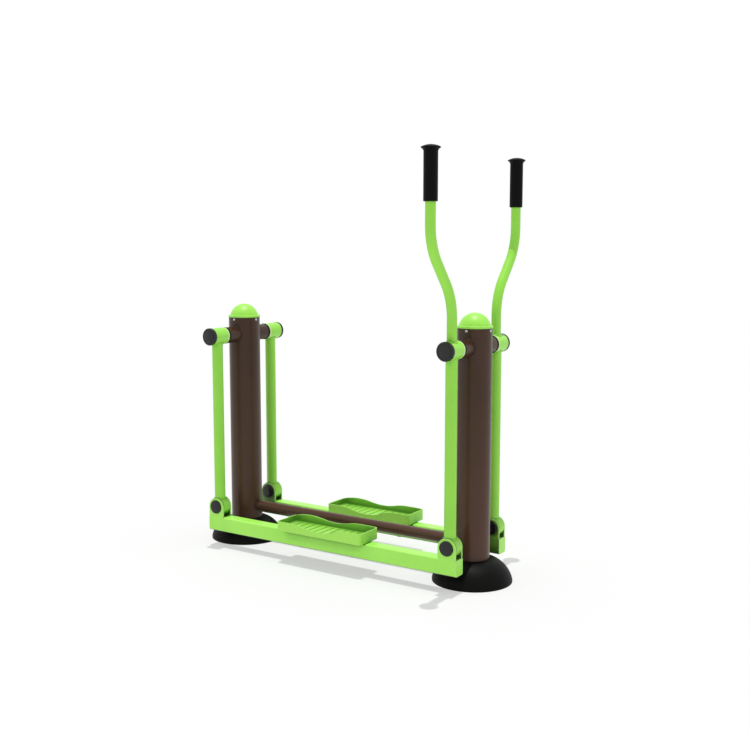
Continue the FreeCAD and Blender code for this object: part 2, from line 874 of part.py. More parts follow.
def make_pivot_pins(side):
    """Headed pins through the ears, grooved near the inner end for a retaining clip."""
    tail = rail_half + d.pin_tail
    near = rail_half + d.clip_inset
    far = near + d.clip_thickness + d.push_gap
    neck = pin_radius - d.clip_seat_depth
    members = []
    for end in ENDS:
        pin = turned(f"{end}_{side}_pivot_pin", [
            (0, -tail),
            (pin_radius - d.pin_chamfer, -tail),
            (pin_radius, -tail + d.pin_chamfer),
            (pin_radius, -far),
            (neck, -far),
            (neck, -near),
            (pin_radius, -near),
            (pin_radius, rail_half),
            (d.pin_head_diameter / 2, rail_half),
            (d.pin_head_diameter / 2, rail_half + d.pin_head),
            (0, rail_half + d.pin_head),
        ])
        members.append(at_pivot(pin, end, side))
    return group(side + "_pivot_pins", members)


def make_pivot_clips(side):
    """Open retaining rings in the pins' grooves."""
    level = -rail_half - d.clip_inset - d.clip_thickness
    mouth = d.clip_mouth / 2
    edge = d.clip_diameter / 2 + d.cut_margin
    members = []
    for end in ENDS:
        name = f"{end}_{side}_pivot_clip"
        body = doc.addObject("PartDesign::Body", name)
        face = new_sketch(body, "XY_Plane", name + "_ring", level)
        draw_circle(face, 0, 0, d.clip_diameter / 2)
        draw_circle(face, 0, 0, pin_radius - d.clip_seat_depth + d.push_gap)
        pad(body, face, d.clip_thickness)
        opening = new_sketch(body, "XY_Plane", name + "_mouth")
        draw(opening, [(-mouth, -edge), (mouth, -edge), (mouth, 0), (-mouth, 0)])
        pocket(body, opening)
        members.append(at_pivot(body, end, side))
    return group(side + "_pivot_clips", members)


def make_clevis_plates(side):
    """Round-topped ears on the rail's two sides at each end, which carry the pins."""
    members = []
    for end in ENDS:
        for place, sign in (("outer", 1), ("inner", -1)):
            name = f"{end}_{side}_{place}_ear"
            body = doc.addObject("PartDesign::Body", name)
            sketch = new_sketch(body, "XZ_Plane", name + "_outline")
            draw(sketch, [
                (-ear_radius, -d.pivot_rise),
                (ear_radius, -d.pivot_rise),
                (ear_radius, 0, ear_radius, "out"),
                (0, ear_radius, ear_radius, "out"),
                (-ear_radius, 0),
            ])
            draw_circle(sketch, 0, 0, pin_radius + d.push_gap)
            pad(body, sketch, d.ear_thickness, both_ways=True)
            away = (rail_half - d.ear_thickness / 2) * sign
            put(body, post_x(end), (side_offset + away) * SIDES[side], d.pivot_height)
            members.append(body)
    return group(side + "_clevis_plates", members)


def make_pivot_caps(side):
    """Black caps on the ears' outer faces, hollow over the pins' heads and tails."""
    edge = d.pivot_cap_diameter / 2
    brim = d.pivot_cap_side - d.pivot_cap_bevel
    shoulder = edge - d.pivot_cap_bevel
    room = d.pin_head_diameter / 2 + d.pivot_cap_room
    roof = d.pin_head + d.pivot_cap_room
    members = []
    for end in ENDS:
        for place, sign in (("outer", 1), ("inner", -1)):
            body = turned(f"{end}_{side}_{place}_pivot_cap", [
                (room, 0),
                (edge, 0),
                (edge, brim),
                (shoulder, d.pivot_cap_side, crown_radius(shoulder, d.pivot_cap_crown), "out"),
                (0, d.pivot_cap_side + d.pivot_cap_crown),
                (0, roof),
                (room, roof),
            ])
            facing = side if sign > 0 else ("right" if side == "left" else "left")
            across = (side_offset + rail_half * sign) * SIDES[side]
            members.append(put(body, post_x(end), across, d.pivot_height, OUTWARD[facing]))
    return group(side + "_pivot_caps", members)


# Rails and footboards.


def make_rail(side):
    """A rectangular tube with closed ends, drilled right through for the footboard's bolts."""
    name = side + "_rail"
    half = d.rail_depth / 2
    length = d.post_spacing + d.rail_overhang * 2
    body = doc.addObject("PartDesign::Body", name)
    outer = new_sketch(body, "YZ_Plane", name + "_outside")
    draw(outer, rounded_rectangle(rail_half, half, d.rail_corner))
    pad(body, outer, length, both_ways=True)
    inner = new_sketch(body, "YZ_Plane", name + "_inside")
    corner = d.rail_corner - d.rail_wall
    draw(inner, rounded_rectangle(rail_half - d.rail_wall, half - d.rail_wall, corner))
    hollow = pocket(body, inner, length - d.rail_wall * 2)
    hollow.SideType = "Symmetric"
    holes = new_sketch(body, "XY_Plane", name + "_holes")
    for sign in ENDS.values():
        draw_circle(holes, bolt_x(sign), 0, d.board_bolt_diameter / 2 + d.hole_gap)
    pocket(body, holes)
    return put(body, y=side_offset * SIDES[side], z=rail_bottom + half)


def bolt_x(sign):
    return d.boss_spacing / 2 * sign


def make_footboard(side):
    """A cast tray: a treaded floor, walls that dip in the middle, and bosses that stand on the rail.
    Both sides use the same casting. Heights are taken from the rail's top."""
    name = side + "_footboard"
    half_length, half_width = d.board_length / 2, d.board_width / 2
    inner_length, inner_width = half_length - d.board_wall, half_width - d.board_wall
    inner_corner = d.board_corner - d.board_wall
    floor_low = d.tread_height - d.tread_thickness
    block_top = d.rear_crest + d.cut_margin
    body = doc.addObject("PartDesign::Body", name)

    block = new_sketch(body, "XY_Plane", name + "_block", d.skirt_rise)
    draw(block, rounded_rectangle(half_length, half_width, d.board_corner))
    pad(body, block, block_top - d.skirt_rise)

    tray = new_sketch(body, "XY_Plane", name + "_tray", block_top)
    draw(tray, rounded_rectangle(inner_length, inner_width, inner_corner))
    pocket(body, tray, block_top - d.tread_height)

    for wall, edge in (("high", high_wall_edge()), ("low", low_wall_edge())):
        sketch = new_sketch(body, "XZ_Plane", f"{name}_{wall}_wall")
        beyond = half_length + d.cut_margin
        above = block_top + d.cut_margin
        draw(sketch, [
            (-beyond, d.wall_rear), *edge, (beyond, d.wall_front), (beyond, above), (-beyond, above),
        ])
        pocket(body, sketch, half_width + d.cut_margin, reverse=wall == "low")

    hollow = new_sketch(body, "XY_Plane", name + "_hollow", d.skirt_rise)
    draw(hollow, rounded_rectangle(inner_length, inner_width, inner_corner))
    pocket(body, hollow, floor_low - d.skirt_rise, reverse=True)

    ribs = new_sketch(body, "XY_Plane", name + "_ribs")
    for sign in (-1, 0, 1):
        middle = bolt_x(sign) if sign else Size(0)
        thick = d.boss_width / 2 if sign else d.rib_width / 2
        draw(ribs, shifted(rectangle(thick, rail_half), middle))
    pad(body, ribs, floor_low)
    drill = new_sketch(body, "XY_Plane", name + "_drill")
    for sign in ENDS.values():
        draw_circle(drill, bolt_x(sign), 0, d.board_bolt_diameter / 2 + d.push_gap)
    pocket(body, drill, d.board_bolt_bite + d.tip_gap, reverse=True)

    bar = new_sketch(body, "XY_Plane", name + "_bar", d.tread_height)
    first = -d.bar_pitch * (d.bar_count - 1) / 2
    draw(bar, shifted(rectangle(d.bar_width / 2, inner_width - d.bar_margin), first))
    raised = pad(body, bar, d.bar_height)
    pattern = body.newObject("PartDesign::LinearPattern", name + "_bars")
    pattern.Originals = [raised]
    pattern.Direction = (bar, ["H_Axis"])
    pattern.setExpression("Length", (d.bar_pitch * (d.bar_count - 1)).text)
    pattern.setExpression("Occurrences", d.bar_count.text)
    body.Tip = pattern
    return put(body, y=side_offset * SIDES[side], z=rail_top)


def high_wall_edge():
    """The edge of the wall with two crests: a rise, a dip in the middle, and a level front."""
    inner_length = d.board_length / 2 - d.board_wall
    rear = (-d.rear_crest_place, d.rear_crest)
    dip = (d.dip_place, d.high_dip)
    front = (d.high_crest_place, d.front_crest)
    rise = crown_radius(inner_length - d.rear_crest_place, d.rear_crest - d.wall_rear)
    fall = crown_radius(inner_length - d.high_crest_place, d.front_crest - d.wall_front)
    return [
        (-inner_length, d.wall_rear, rise, "in"), *wave(rear, dip), *wave(dip, front),
        (*front, fall, "in"), (inner_length, d.wall_front),
    ]


def low_wall_edge():
    """The edge of the lower wall, which drops almost to the tread and rises again at the front."""
    inner_length = d.board_length / 2 - d.board_wall
    shoulder = (-d.rear_shoulder_place, d.wall_rear)
    dip = (d.dip_place, d.low_dip)
    front = (d.low_crest_place, d.front_crest)
    fall = crown_radius(inner_length - d.low_crest_place, d.front_crest - d.wall_front)
    return [*wave(shoulder, dip), *wave(dip, front), (*front, fall, "in"), (inner_length, d.wall_front)]


def shifted(corners, x):
    """The same corners, moved along x."""
    return [(corner[0] + x, *corner[1:]) for corner in corners]


def make_footboard_bolts(side):
    """Hexagon bolts up through the rail into the footboard's bosses."""
    radius = d.board_bolt_diameter / 2
    length = d.rail_depth + d.board_bolt_bite
    upside_down = FreeCAD.Rotation(FreeCAD.Vector(1, 0, 0), 180)
    members = []
    for end, sign in ENDS.items():
        name = f"{end}_{side}_footboard_bolt"
        bolt = hex_screw(name, radius, length, d.board_bolt_flats, d.board_bolt_head)
        across = side_offset * SIDES[side]
        members.append(put(bolt, bolt_x(sign), across, rail_bottom, upside_down))
    return group(side + "_footboard_bolts", members)


# The whole machine.

subparts = [make_base_gussets(), make_stretcher(), make_post_cap_screws()]
subparts.append(on_axles("axle_seals", make_seal))
subparts.append(on_axles("bearing_spacers", make_spacer))
subparts.append(on_axles("axle_end_screws", make_end_screw))
for end in ENDS:
    for make in (make_post, make_base_plate, make_base_cover):
        subparts.append(make(end))
    for make in (make_post_cap, make_crossarm, make_axle_shaft):
        subparts.append(make(end))
    for side in SIDES:
        for make in (make_upper_hub, make_hub_bearings, make_hub_cap, make_arm_tube):
            subparts.append(make(end, side))
        for make in (make_lower_hub, make_lower_bearings):
            subparts.append(make(end, side))
for side in SIDES:
    for make in (make_handle, make_grip, make_rail, make_clevis_plates, make_pivot_pins):
        subparts.append(make(side))
    for make in (make_pivot_clips, make_pivot_caps, make_footboard, make_footboard_bolts):
        subparts.append(make(side))

doc.recompute()

# Nothing is written unless every object and every shape is sound.

for item in doc.Objects:
    if "Invalid" in item.State or "Error" in item.State:
        raise RuntimeError(f"{item.Label} failed: {item.State}")
for item in doc.findObjects("PartDesign::Pocket"):
    if item.Shape.Volume > item.BaseFeature.Shape.Volume - 1:
        raise RuntimeError(f"{item.Label} cuts nothing")
os.makedirs("parts", exist_ok=True)
for item in subparts:
    if item.Shape.isNull() or not item.Shape.isValid():
        raise RuntimeError(f"{item.Label} has no sound shape")
    item.Shape.exportStep(f"parts/{item.Label}.step")
print(f"{len(subparts)} sub-parts, {sum(len(item.Shape.Solids) for item in subparts)} solids")
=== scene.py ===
# %% [markdown]
# # An outdoor air walker, dressed in Blender
#
# The machine is a street gym: two steel posts carry four swinging arms, the arms carry two
# footboards, and the front pair of arms runs on upwards as handles. All its solids come from the
# engineering model, so this lesson doesn't model the frame again. It gives each part the surface
# of its real counterpart, and adds what a drawing leaves out: weld beads, the ground welds under
# the ears and the lips of the seals. Then it lights the machine as for a catalogue, from straight
# above and on a white floor.

# %% Load the frame that everything sits on
import json
import math

import bmesh
import bpy
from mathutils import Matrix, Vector


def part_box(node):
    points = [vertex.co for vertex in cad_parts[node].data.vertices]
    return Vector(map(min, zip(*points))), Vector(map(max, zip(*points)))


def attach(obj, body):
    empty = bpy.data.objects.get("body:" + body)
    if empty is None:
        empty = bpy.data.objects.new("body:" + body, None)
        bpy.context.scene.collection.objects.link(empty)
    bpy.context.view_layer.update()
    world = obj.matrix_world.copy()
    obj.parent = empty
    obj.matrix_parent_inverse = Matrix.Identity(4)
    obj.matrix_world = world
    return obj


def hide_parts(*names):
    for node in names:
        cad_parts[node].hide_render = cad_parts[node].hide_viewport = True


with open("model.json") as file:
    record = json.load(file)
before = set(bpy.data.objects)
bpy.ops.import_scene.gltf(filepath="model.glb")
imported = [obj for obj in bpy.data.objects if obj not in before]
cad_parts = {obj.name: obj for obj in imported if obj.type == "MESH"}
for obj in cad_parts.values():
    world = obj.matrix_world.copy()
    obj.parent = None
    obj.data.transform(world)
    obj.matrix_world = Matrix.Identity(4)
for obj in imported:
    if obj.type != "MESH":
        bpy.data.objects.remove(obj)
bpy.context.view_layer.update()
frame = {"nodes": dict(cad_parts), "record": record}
slot_of = {row["node"]: row["material_slot"] for row in frame["record"]["subparts"]}

# %% [markdown]
# ## Colours
#
# A paint chart gives colours as sRGB hex numbers, while a shader works in linear light. One
# function turns the first into the second, so that every colour below can be read like a chart.


# %% Hex to linear light
def linear(hex_colour):
    """An sRGB hex value such as "A6EA60" as the four linear numbers a colour socket takes."""
    channels = [int(hex_colour[place:place + 2], 16) / 255 for place in (0, 2, 4)]
    return [c / 12.92 if c <= 0.04045 else ((c + 0.055) / 1.055) ** 2.4 for c in channels] + [1.0]


print("mid grey 808080 is", round(linear("808080")[0], 3), "in linear light")

# %% [markdown]
# ## Building a material from nodes
#
# A finish could be a photograph wrapped round the part, but that needs an unwrapped mesh and shows
# its pixels up close. So every finish here is a small node tree instead. One function adds a node,
# sets it and wires it, so that each material reads as a list of what it is made of. Patterns are
# sized from a real length: a noise with one bump per 2 mm needs a scale of 500 per metre, and
# `per_metre` says so.


# %% One way to add a node, and one way to start a material
def add_node(tree, kind, inputs=None, **settings):
    """Adds a node. Inputs are values, or another node's output to be linked."""
    node = tree.nodes.new(kind)
    for name, value in settings.items():
        setattr(node, name, value)
    for socket, value in (inputs or {}).items():
        if isinstance(value, bpy.types.NodeSocket):
            tree.links.new(value, node.inputs[socket])
        else:
            node.inputs[socket].default_value = value
    return node


def per_metre(millimetres):
    """The texture scale that repeats once in the given length."""
    return 1000 / millimetres


def blank_material(name):
    """A material with a Principled shader. Returns it, its tree, the shader and the place."""
    material = bpy.data.materials.new(name)
    material.use_nodes = True
    tree = material.node_tree
    tree.nodes.clear()
    shader = add_node(tree, "ShaderNodeBsdfPrincipled")
    add_node(tree, "ShaderNodeOutputMaterial", {"Surface": shader.outputs["BSDF"]})
    place = add_node(tree, "ShaderNodeTexCoord").outputs["Object"]
    return material, tree, shader, place


def wire(tree, shader, **sockets):
    """Links outputs to the shader's sockets, named with underscores for spaces."""
    for name, output in sockets.items():
        tree.links.new(output, shader.inputs[name.replace("_", " ")])


print("one bump per 2 mm needs a scale of", per_metre(2))

# %% [markdown]
# ## Painted edge highlights and painted corner shade
#
# Two marks are painted into the coat's colour in place of light. Along every edge the colour turns
# paler: a painted highlight, as a rounded edge catches the white floor and sky. Where a neighbour
# is close, in corners and between parts, it turns darker: painted shade, on top of the shade the
# lamps leave there. Both could be painted by hand on an image. Here they are found from the shape:
# an edge is where the rounded normal turns away from the flat one, and a corner is where little of
# the open air can be seen from close by. So they stay right when a size in the drawing changes.
#
# A shelter is three numbers: how near a neighbour has to be to count, in millimetres, the open
# share at which a place takes the full painted shade, and the share at which it takes none.

# %% Painted edge highlights and painted corner shade
EDGE_BEGINS, EDGE_FULL = 0.996, 0.86
CORNER_SAMPLES = 16


def painted_edge_highlight(tree, colour, hex_highlight, rounded):
    """The colour with a painted highlight where the rounded normal leaves the flat one."""
    flat = add_node(tree, "ShaderNodeNewGeometry").outputs["Normal"]
    same = add_node(tree, "ShaderNodeVectorMath", {0: rounded, 1: flat}, operation="DOT_PRODUCT")
    edge = add_node(tree, "ShaderNodeMapRange", {
        "Value": same.outputs["Value"], "From Min": EDGE_BEGINS, "From Max": EDGE_FULL,
    })
    mixed = add_node(tree, "ShaderNodeMix", {
        "Factor": edge.outputs["Result"], "A": colour, "B": linear(hex_highlight),
    }, data_type="RGBA")
    return mixed.outputs["Result"]


def painted_corner_shade(tree, colour, hex_shade, shelter):
    """The colour, turned to a painted shade where things closer than the reach hide the open air.
    """
    reach_mm, full_shade_below, no_shade_above = shelter
    corner = add_node(tree, "ShaderNodeAmbientOcclusion", {
        "Distance": reach_mm / 1000,
    }, samples=CORNER_SAMPLES)
    open_share = add_node(tree, "ShaderNodeMapRange", {
        "Value": corner.outputs["AO"], "From Min": full_shade_below, "From Max": no_shade_above,
    })
    mixed = add_node(tree, "ShaderNodeMix", {
        "Factor": open_share.outputs["Result"], "A": linear(hex_shade), "B": colour,
    }, data_type="RGBA")
    return mixed.outputs["Result"]


print("an edge begins at", round(math.degrees(math.acos(EDGE_BEGINS)), 1), "degrees of rounding")

# %% [markdown]
# ## Painted rim highlights and painted foot light
#
# Two more painted marks go by place, because the shape doesn't show them. A hub's wall is thin at
# its rim, where the rounded normal finds no edge, so the rim's painted highlight is drawn by its
# distance from the machine's middle plane. And the foot of each post is painted lighter, less and
# less with
# height: painted light, as from the white floor close below. Both could be painted on the vertices,
# but a rebuilt solid would lose them.

# %% Painted rim highlights and painted foot light
RIM_FULL_MM, RIM_FADES_MM = 4.0, 8.0
FOOT_LIGHT_FROM_MM, FOOT_LIGHT_TO_MM = 50.0, 650.0


def painted_rim_highlight(tree, colour, place, hex_highlight, rim_mm):
    """The colour with a painted highlight on the few millimetres beside a rim at rim_mm along Y."""
    at = add_node(tree, "ShaderNodeSeparateXYZ", {"Vector": place})
    out = add_node(tree, "ShaderNodeMath", {0: at.outputs["Y"]}, operation="ABSOLUTE")
    rim = add_node(tree, "ShaderNodeMapRange", {
        "Value": out.outputs["Value"],
        "From Min": (rim_mm + RIM_FADES_MM) / 1000, "From Max": (rim_mm + RIM_FULL_MM) / 1000,
    })
    mixed = add_node(tree, "ShaderNodeMix", {
        "Factor": rim.outputs["Result"], "A": colour, "B": linear(hex_highlight),
    }, data_type="RGBA")
    return mixed.outputs["Result"]


def painted_foot_light(tree, colour, place, hex_lit_foot):
    """The colour, turned to a lighter one near the ground: painted light from the floor."""
    at = add_node(tree, "ShaderNodeSeparateXYZ", {"Vector": place})
    height = add_node(tree, "ShaderNodeMapRange", {
        "Value": at.outputs["Z"],
        "From Min": FOOT_LIGHT_FROM_MM / 1000, "From Max": FOOT_LIGHT_TO_MM / 1000,
    })
    mixed = add_node(tree, "ShaderNodeMix", {
        "Factor": height.outputs["Result"], "A": linear(hex_lit_foot), "B": colour,
    }, data_type="RGBA")
    return mixed.outputs["Result"]


# The painted light at a post's foot fades out at this height.
print("splashes reach", FOOT_LIGHT_TO_MM, "mm up a post")

# %% [markdown]
# ## Powder coat on steel tube
#
# The arms, rails, hubs and posts are steel tube with a baked polyester powder coat. It is a
# dielectric film (IOR about 1.5), glossy, with a faint "orange peel": shallow waves about 3 mm
# apart, left when the powder melts. The eye reads them as highlights that wobble slightly. The
# film rounds every edge under it, so a bevel on the normal does the same without more faces. The
# gloss varies with the powder's specks, half a millimetre wide, drawn at 4 mm so that they show,
# and the shade drifts a little over the length of a hand.

# %% Powder coat
POLYMER_IOR = 1.5
ORANGE_PEEL_MM, PEEL_DEPTH_MM = 3.0, 0.05
SPECK_MM = 4.0
DRIFT_MM = 120.0
DRIFT_BEGINS, DRIFT_FULL = 0.35, 0.7
COAT_SMOOTHEST, COAT_ROUGHEST = 0.25, 0.37
BEVEL_SAMPLES = 4
# How far the painted corner shade reaches, and how deep it goes.
IN_CORNERS = (40.0, 0.35, 0.9)


def powder_coat(name, hex_colour, hex_deep, hex_shade, hex_highlight, edge_mm, specular,
                shelter=IN_CORNERS, rim_mm=None, hex_lit_foot=None):
    """Baked powder paint: broad colour drift, orange peel, painted edge highlights and corner
    shade, uneven gloss.
    """
    material, tree, shader, place = blank_material(name)
    drift = add_node(tree, "ShaderNodeTexNoise", {
        "Vector": place, "Scale": per_metre(DRIFT_MM), "Detail": 4.0, "Roughness": 0.6,
    })
    band = add_node(tree, "ShaderNodeMapRange", {
        "Value": drift.outputs["Fac"], "From Min": DRIFT_BEGINS, "From Max": DRIFT_FULL,
    })
    shade = add_node(tree, "ShaderNodeMix", {
        "Factor": band.outputs["Result"], "A": linear(hex_colour), "B": linear(hex_deep),
    }, data_type="RGBA").outputs["Result"]
    # Painted light: the colour turns lighter towards the ground.
    if hex_lit_foot:
        shade = painted_foot_light(tree, shade, place, hex_lit_foot)
    peel = add_node(tree, "ShaderNodeTexNoise", {
        "Vector": place, "Scale": per_metre(ORANGE_PEEL_MM), "Detail": 1.0,
    })
    film = add_node(tree, "ShaderNodeBevel", {"Radius": edge_mm / 1000}, samples=BEVEL_SAMPLES)
    rounded = film.outputs["Normal"]
    bump = add_node(tree, "ShaderNodeBump", {
        "Height": peel.outputs["Fac"], "Distance": PEEL_DEPTH_MM / 1000, "Strength": 1.0,
        "Normal": rounded,
    })
    # Painted shade in the corners, then painted highlights along the edges and at the rim.
    corner_shaded = painted_corner_shade(tree, shade, hex_shade, shelter)
    highlighted = painted_edge_highlight(tree, corner_shaded, hex_highlight, rounded)
    if rim_mm:
        highlighted = painted_rim_highlight(tree, highlighted, place, hex_highlight, rim_mm)
    speck = add_node(tree, "ShaderNodeTexNoise", {
        "Vector": place, "Scale": per_metre(SPECK_MM), "Detail": 3.0,
    })
    gloss = add_node(tree, "ShaderNodeMapRange", {
        "Value": speck.outputs["Fac"], "To Min": COAT_SMOOTHEST, "To Max": COAT_ROUGHEST,
    })
    shader.inputs["IOR"].default_value = POLYMER_IOR
    shader.inputs["Specular IOR Level"].default_value = specular
    wire(tree, shader, Base_Color=highlighted, Normal=bump.outputs["Normal"],
         Roughness=gloss.outputs["Result"])
    return material


print("the orange peel has", round(per_metre(ORANGE_PEEL_MM)), "waves per metre")

# %% [markdown]
# ## Six versions of the coat
#
# There is one lime coat and one brown, in six materials that differ in their painted light and
# shade. The arms are plain lime with thin painted highlights on the edges. The hubs are a touch
# paler, a lit copy too, and shinier, with a broad painted highlight at the rim. The rails and their
# ears are painted paler still, as a lit copy of the lime, with wide soft painted highlights on the
# edges, and painted shade on whatever faces a near part or the ground. The welds at the ears' feet
# are ground before they are coated, so they have the rail's colour and no painted edge highlight.
# The posts are chocolate brown, painted lighter at the foot. One material with a chance shade for
# each part would be shorter, but it couldn't give each its own painted highlights and shade.

# %% Coat the steel
# The rails' painted shade counts neighbours up to 250 mm away, the floor among them.
NEAR_GROUND = (250.0, 0.36, 0.5)
hub_rim_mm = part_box("front_left_upper_hub")[0][1] * 1000

materials = {}
# Each coat: colour, drift shade, painted corner shade, painted edge highlight.
materials["green_paint"] = powder_coat(
    "lime_powder_coat_on_tube", "99E24D", "93DC49", "5F9A2C", "B4EC7C",
    edge_mm=1.2, specular=0.35)
# The hubs carry a broad painted highlight at the rim.
materials["hub_paint"] = powder_coat(
    "lime_powder_coat_on_hub", "9CE550", "96DF4C", "5F9A2C", "C8EFA4",
    edge_mm=3.5, specular=0.45, rim_mm=hub_rim_mm)
# Rails, ears and their welds: a paler, lit copy of the lime, which is painted light.
materials["rail_paint"] = powder_coat(
    "lime_powder_coat_on_rail", "AEF764", "A7F05E", "466E22", "D8FAB8",
    edge_mm=4.5, specular=0.35, shelter=NEAR_GROUND)
materials["ear_paint"] = powder_coat(
    "lime_powder_coat_on_plate", "AEF764", "A7F05E", "466E22", "D8FAB8",
    edge_mm=4.0, specular=0.35, shelter=NEAR_GROUND)
materials["ground_weld_paint"] = powder_coat(
    "lime_powder_coat_on_ground_weld", "AEF764", "A7F05E", "466E22", "AEF764",
    edge_mm=0.1, specular=0.35, shelter=NEAR_GROUND)
# The posts' foot is painted lighter: painted light.
materials["brown_paint"] = powder_coat(
    "brown_powder_coat_on_steel", "422A1B", "3C2618", "29201B", "5C443A",
    edge_mm=1.2, specular=0.28, hex_lit_foot="54382A")
print(sorted(materials), "hub rims at", round(hub_rim_mm, 1), "mm from the middle")

# %% [markdown]
# ## Powder coat on a casting
#
# The footboards are cast in aluminium and then coated like the arms, in a paler, lit copy of their
# lime. The sand of the mould shows through the paint as a fine grain under 1 mm, over slow hollows
# where the metal shrank. As real faces that would take millions of them, so it is relief in the
# shading: the recipe is the powder coat's, with the casting's own bumps under it. The faces that
# look up are painted a little darker than the tray's walls: painted shade that tones down the light
# from above. Painted shade also lies along the foot of each wall and inside the tray.

# %% Cast and coated
SAND_GRAIN_MM, SAND_DEPTH_MM = 0.9, 0.18
SHRINK_MM, SHRINK_DEPTH_MM, SHRINK_STRENGTH = 14.0, 0.6, 0.6
CAST_SMOOTHEST, CAST_ROUGHEST = 0.36, 0.55
CAST_EDGE_MM = 2.0
IN_TRAY = (60.0, 0.5, 0.97)
UPWARD_SHADE_BEGINS, UPWARD_SHADE_FULL = 0.6, 0.95


def painted_upward_shade(tree, colour, hex_upward_shade):
    """The colour, turned to a painted shade where the surface looks up."""
    turned_to = add_node(tree, "ShaderNodeSeparateXYZ", {
        "Vector": add_node(tree, "ShaderNodeTexCoord").outputs["Normal"],
    })
    upward = add_node(tree, "ShaderNodeMapRange", {
        "Value": turned_to.outputs["Z"], "From Min": UPWARD_SHADE_BEGINS, "From Max": UPWARD_SHADE_FULL,
    })
    mixed = add_node(tree, "ShaderNodeMix", {
        "Factor": upward.outputs["Result"], "A": colour, "B": linear(hex_upward_shade),
    }, data_type="RGBA")
    return mixed.outputs["Result"]


def coated_casting(name, hex_colour, hex_deep, hex_shade, hex_upward_shade):
    """Paint over sand-cast metal: two sizes of relief, and paint that is duller in the grain."""
    material, tree, shader, place = blank_material(name)
    shrink = add_node(tree, "ShaderNodeTexNoise", {
        "Vector": place, "Scale": per_metre(SHRINK_MM), "Detail": 2.0,
    })
    grain = add_node(tree, "ShaderNodeTexNoise", {
        "Vector": place, "Scale": per_metre(SAND_GRAIN_MM), "Detail": 4.0, "Roughness": 0.6,
    })
    wall = add_node(tree, "ShaderNodeMix", {
        "Factor": shrink.outputs["Fac"], "A": linear(hex_colour), "B": linear(hex_deep),
    }, data_type="RGBA")
    # Painted shade on the faces that look up, then in the tray's corners.
    upward_shaded = painted_upward_shade(tree, wall.outputs["Result"], hex_upward_shade)
    corner_shaded = painted_corner_shade(tree, upward_shaded, hex_shade, IN_TRAY)
    film = add_node(tree, "ShaderNodeBevel", {
        "Radius": CAST_EDGE_MM / 1000,
    }, samples=BEVEL_SAMPLES)
    broad = add_node(tree, "ShaderNodeBump", {
        "Height": shrink.outputs["Fac"], "Distance": SHRINK_DEPTH_MM / 1000,
        "Strength": SHRINK_STRENGTH, "Normal": film.outputs["Normal"],
    })
    fine = add_node(tree, "ShaderNodeBump", {
        "Height": grain.outputs["Fac"], "Distance": SAND_DEPTH_MM / 1000,
        "Normal": broad.outputs["Normal"],
    })
    gloss = add_node(tree, "ShaderNodeMapRange", {
        "Value": grain.outputs["Fac"], "To Min": CAST_SMOOTHEST, "To Max": CAST_ROUGHEST,
    })
    shader.inputs["IOR"].default_value = POLYMER_IOR
    wire(tree, shader, Base_Color=corner_shaded, Normal=fine.outputs["Normal"],
         Roughness=gloss.outputs["Result"])
    return material


# A paler, lit copy of the lime: painted light.
materials["cast_footboard"] = coated_casting(
    "lime_coated_cast_aluminium", "AEF25E", "A5E856", "5E9A2B", "95DA46")
# How far the footboards' painted corner shade reaches from a wall.
print("casting dust reaches", IN_TRAY[0], "mm from a wall")

# %% [markdown]
# ## Moulded plastics
#
# Three plastics, which differ in the tool that moulded them. The post caps are green nylon with
# hardly any grain and a satin shine. The base covers are black polypropylene from a spark-eroded
# tool, which leaves a leathery grain over a millimetre across and next to no shine. The hub and
# pivot caps are black nylon with a finer grain and a clear highlight. Their sides are painted
# darker
# than their faces: a painted reflection, the sides as if mirroring dark surroundings and the faces
# the white floor. The grain could be plain noise, but a tool's surface is made of small cells, so a
# cell pattern draws it. Its size, its depth and the gloss are what tells these plastics apart.

# %% Plastics
GRAINS_PER_CLOUD = 30
DARKEST_CLOUD, LIGHTEST_CLOUD = 0.9, 1.12
FACE_BEGINS, FACE_FULL = 0.86, 0.98


def painted_side_reflection(tree, colour, hex_painted_side):
    """The colour on the faces that look along the axle, and a darker painted reflection elsewhere.
    """
    turned_to = add_node(tree, "ShaderNodeSeparateXYZ", {
        "Vector": add_node(tree, "ShaderNodeTexCoord").outputs["Normal"],
    })
    along = add_node(tree, "ShaderNodeMath", {0: turned_to.outputs["Y"]}, operation="ABSOLUTE")
    face = add_node(tree, "ShaderNodeMapRange", {
        "Value": along.outputs["Value"], "From Min": FACE_BEGINS, "From Max": FACE_FULL,
    })
    mixed = add_node(tree, "ShaderNodeMix", {
        "Factor": face.outputs["Result"], "A": linear(hex_painted_side), "B": colour,
    }, data_type="RGBA")
    return mixed.outputs["Result"]


